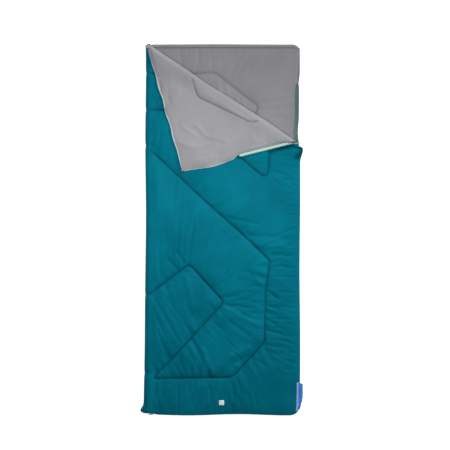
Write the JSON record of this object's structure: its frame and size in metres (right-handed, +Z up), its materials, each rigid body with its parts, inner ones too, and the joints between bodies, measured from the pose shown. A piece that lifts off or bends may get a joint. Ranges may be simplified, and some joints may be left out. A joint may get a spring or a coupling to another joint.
{
  "type": "rectangular sleeping bag",
  "caption": "Quilted rectangular sleeping bag lying flat, zipped along one side and the foot, with its cover's head corner turned back over itself.",
  "frame": {"origin": "on the floor under the middle of the bag", "axes": "+X towards the zip side, +Y towards the head end, +Z up"},
  "size_m": [0.763, 1.8086, 0.0705],
  "materials": {
    "shell_cloth": "matte",
    "wadding": "matte",
    "lining_cloth": "matte",
    "zip_tape": "matte",
    "mint_tape": "matte",
    "zip_coil": "satin",
    "mint_coil": "satin",
    "stop_metal": "satin",
    "zip_metal": "gloss",
    "pull_metal": "gloss",
    "thread": "matte",
    "label_cloth": "matte",
    "tab_cloth": "matte"
  },
  "bodies": {
    "base_quilt": {"base_shell": "shell_cloth", "base_fill": "wadding", "base_lining": "lining_cloth", "side_fold_shell": "shell_cloth", "side_fold_fill": "wadding", "side_fold_lining": "lining_cloth", "lower_zip_tape": "zip_tape", "lower_zip_coil": "zip_coil", "lower_top_stop": "stop_metal", "zip_end_box": "zip_coil", "base_hem_binding": "lining_cloth", "base_stitching": "thread", "zip_end_patch": "shell_cloth"},
    "top_quilt": {"cover_shell": "shell_cloth", "cover_fill": "wadding", "cover_lining": "lining_cloth", "upper_zip_tape": "mint_tape", "upper_zip_coil": "mint_coil", "cover_stitching": "thread", "foot_label": "label_cloth", "stow_tab_strip": "tab_cloth"},
    "fold_roll": {"crease_roll_shell": "shell_cloth", "crease_roll_fill": "wadding", "crease_roll_lining": "lining_cloth"},
    "corner_flap": {"flap_shell": "shell_cloth", "flap_fill": "wadding", "flap_lining": "lining_cloth", "flap_zip_tape": "mint_tape", "flap_zip_coil": "mint_coil", "flap_top_stop": "stop_metal", "flap_hem_binding": "mint_tape", "flap_stitching": "thread"},
    "zip_slider": {"slider_body": "zip_metal", "slider_bail": "zip_metal"},
    "zip_pull": {"pull_tab": "pull_metal"},
    "stow_tab": {"stow_tab": "tab_cloth"}
  },
  "joints": [
    {"name": "cover_open", "type": "hinge", "parent": "base_quilt", "child": "top_quilt", "pos_m": [-0.351, 0, 0.024], "axis": [0, -1, 0], "range_deg": [0, 180], "deforming": ["side_fold_shell", "side_fold_fill", "side_fold_lining"]},
    {"name": "flap_fold", "type": "hinge", "parent": "top_quilt", "child": "fold_roll", "pos_m": [0, 0.63596, 0.049], "axis": [-0.8387, 0.5447, 0], "range_deg": [0, 180], "deforming": ["crease_roll_shell", "crease_roll_fill", "crease_roll_lining"]},
    {"name": "flap_slack", "type": "slide", "parent": "fold_roll", "child": "corner_flap", "axis": [0.8387, -0.5447, 0], "range_m": [0, 0.14]},
    {"name": "slider_run", "type": "slide", "parent": "base_quilt", "child": "zip_slider", "axis": [0, 1, 0], "range_m": [-1.24, 0.45]},
    {"name": "pull_swing", "type": "hinge", "parent": "zip_slider", "child": "zip_pull", "pos_m": [0.3788, 0.4092, 0.024], "axis": [0, 0, 1], "range_deg": [0, 140]},
    {"name": "tab_lift", "type": "hinge", "parent": "top_quilt", "child": "stow_tab", "pos_m": [0.3741, -0.816, 0.038], "axis": [0, -1, 0], "range_deg": [0, 60]}
  ],
  "couplings": [
    {"joint": "flap_slack", "follows": "flap_fold", "m_per_rad": 0.043608}
  ]
}
